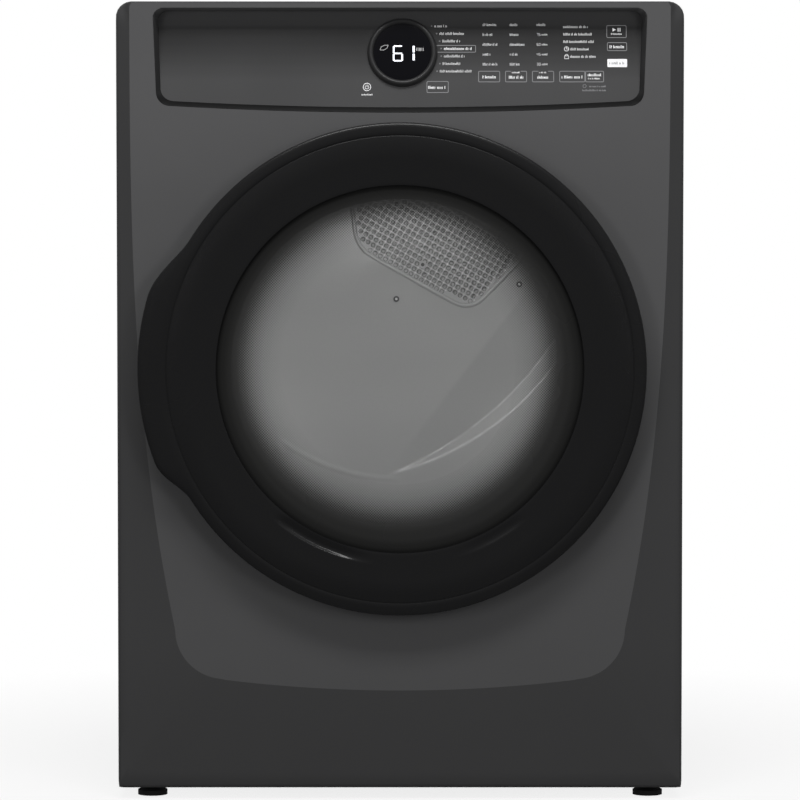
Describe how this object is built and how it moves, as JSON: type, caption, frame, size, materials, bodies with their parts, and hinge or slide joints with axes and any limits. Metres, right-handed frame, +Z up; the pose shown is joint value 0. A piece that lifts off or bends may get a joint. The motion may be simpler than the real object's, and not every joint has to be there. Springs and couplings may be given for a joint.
{
  "type": "clothes dryer",
  "caption": "Front-loading clothes dryer with a round glass door, recessed tilted console, tumbling drum, belt drive, blower, heater and levelling feet.",
  "frame": {"origin": "middle of the overall box at floor level", "axes": "+Z up, -Y towards the user at the door side, +X to the user's right"},
  "size_m": [0.686, 0.8, 0.966],
  "materials": {
    "cabinet_paint": "satin metallic paint",
    "galvanised": "bare galvanised sheet",
    "console_film": "satin printed film",
    "console_trim": "dark moulded bevel",
    "ring_metal": "satin metallic",
    "display_black": "polished black lens",
    "circuit": "solder mask",
    "white_enamel": "light grey enamel",
    "drum_steel": "light grey powder coat",
    "glide_plastic": "slippery moulded plastic",
    "felt": "pressed felt",
    "plain_steel": "zinc plated",
    "heater_wire": "oxidised resistance wire",
    "motor_metal": "cast end caps",
    "duct_plastic": "moulded plastic",
    "belt_rubber": "ribbed belt",
    "white_plastic": "moulded plastic",
    "black_plastic": "moulded plastic",
    "lamp_lens": "frosted lens",
    "door_gloss": "glossy black",
    "trim_metal": "dark polished trim",
    "window_glass": "tinted window",
    "bowl_glass": "clear bowl",
    "seal_rubber": "soft seal",
    "filter_mesh": "woven screen",
    "foot_black": "moulded foot"
  },
  "bodies": {
    "cabinet": {"side_panel_left": "cabinet_paint", "side_panel_right": "cabinet_paint", "rear_panel": "galvanised", "base_pan": "galvanised", "top_panel": "cabinet_paint", "front_panel": "cabinet_paint", "console_housing": "console_trim", "console_fascia": "console_film", "display_ring": "ring_metal", "display_lens": "display_black", "control_boards": "circuit", "front_bulkhead": "white_enamel", "drum_glides": "glide_plastic", "drum_seals": "felt", "rear_bulkhead": "drum_steel", "air_inlet_grille": "drum_steel", "roller_shafts": "plain_steel", "heater_housing": "galvanised", "heater_coils": "heater_wire", "thermostats": "black_plastic", "motor_body": "motor_metal", "motor_bracket": "plain_steel", "blower_housing": "duct_plastic", "lint_duct": "duct_plastic", "exhaust_duct": "galvanised", "drive_belt": "belt_rubber", "terminal_cover": "galvanised", "water_valve": "white_plastic", "steam_tube": "white_plastic", "spray_nozzle": "black_plastic", "latch_catch": "white_plastic", "door_switch": "white_plastic", "moisture_sensors": "plain_steel", "hinge_bracket": "plain_steel", "drum_light": "lamp_lens", "cabinet_screws": "plain_steel", "idler_spring": "plain_steel"},
    "drum": {"drum_shell": "drum_steel", "drum_baffles": "white_plastic"},
    "rotor": {"motor_shaft": "plain_steel", "blower_wheel": "white_plastic"},
    "roller_left": {"roller_left": "belt_rubber"},
    "roller_right": {"roller_right": "belt_rubber"},
    "idler_arm": {"idler_arm": "plain_steel"},
    "idler_pulley": {"idler_pulley": "white_plastic"},
    "door": {"door_ring": "door_gloss", "door_trim": "trim_metal", "door_glass": "window_glass", "door_bowl": "bowl_glass", "door_liner": "black_plastic", "door_seal": "seal_rubber", "door_hinge_arm": "plain_steel", "door_strike": "plain_steel"},
    "lint_filter": {"lint_filter": "white_plastic", "lint_screen": "filter_mesh"},
    "switch_plunger": {"switch_plunger": "black_plastic"},
    "foot_front_left": {"foot_front_left": "foot_black"},
    "foot_front_right": {"foot_front_right": "foot_black"},
    "foot_rear_left": {"foot_rear_left": "foot_black"},
    "foot_rear_right": {"foot_rear_right": "foot_black"}
  },
  "joints": [
    {"name": "door_hinge", "type": "hinge", "parent": "cabinet", "child": "door", "pos_m": [0.29, -0.37, 0.5245], "axis": [0, 0, 1], "range_deg": [0, 105]},
    {"name": "filter_lift", "type": "slide", "parent": "cabinet", "child": "lint_filter", "axis": [0, 0, 1], "range_m": [0, 0.2]},
    {"name": "switch_press", "type": "slide", "parent": "cabinet", "child": "switch_plunger", "axis": [0, 1, 0], "range_m": [0, 0.003], "stiffness_N_per_m": 300, "springref_m": -0.003},
    {"name": "drum_spin", "type": "hinge", "parent": "cabinet", "child": "drum", "pos_m": [0, 0, 0.53], "axis": [0, 1, 0], "continuous": true},
    {"name": "motor_spin", "type": "hinge", "parent": "cabinet", "child": "rotor", "pos_m": [-0.215, 0, 0.115], "axis": [0, 1, 0], "continuous": true},
    {"name": "roller_left_spin", "type": "hinge", "parent": "cabinet", "child": "roller_left", "pos_m": [-0.20672, 0, 0.23478], "axis": [0, 1, 0], "continuous": true},
    {"name": "roller_right_spin", "type": "hinge", "parent": "cabinet", "child": "roller_right", "pos_m": [0.20672, 0, 0.23478], "axis": [0, 1, 0], "continuous": true},
    {"name": "idler_swing", "type": "hinge", "parent": "cabinet", "child": "idler_arm", "pos_m": [-0.163, 0, 0.056], "axis": [0, 1, 0], "range_deg": [0, 20], "stiffness_Nm_per_rad": 2, "springref_deg": -17.19},
    {"name": "idler_spin", "type": "hinge", "parent": "idler_arm", "child": "idler_pulley", "pos_m": [-0.11664, 0, 0.11559], "axis": [0, 1, 0], "continuous": true},
    {"name": "foot_front_left_screw", "type": "slide", "parent": "cabinet", "child": "foot_front_left", "axis": [0, 0, -1], "range_m": [0, 0.02]},
    {"name": "foot_front_right_screw", "type": "slide", "parent": "cabinet", "child": "foot_front_right", "axis": [0, 0, -1], "range_m": [0, 0.02]},
    {"name": "foot_rear_left_screw", "type": "slide", "parent": "cabinet", "child": "foot_rear_left", "axis": [0, 0, -1], "range_m": [0, 0.02]},
    {"name": "foot_rear_right_screw", "type": "slide", "parent": "cabinet", "child": "foot_rear_right", "axis": [0, 0, -1], "range_m": [0, 0.02]}
  ],
  "couplings": [
    {"joint": "motor_spin", "follows": "drum_spin", "ratio": 26.833},
    {"joint": "roller_left_spin", "follows": "drum_spin", "ratio": -8.4737},
    {"joint": "roller_right_spin", "follows": "drum_spin", "ratio": -8.4737},
    {"joint": "idler_spin", "follows": "drum_spin", "ratio": -16.1}
  ]
}
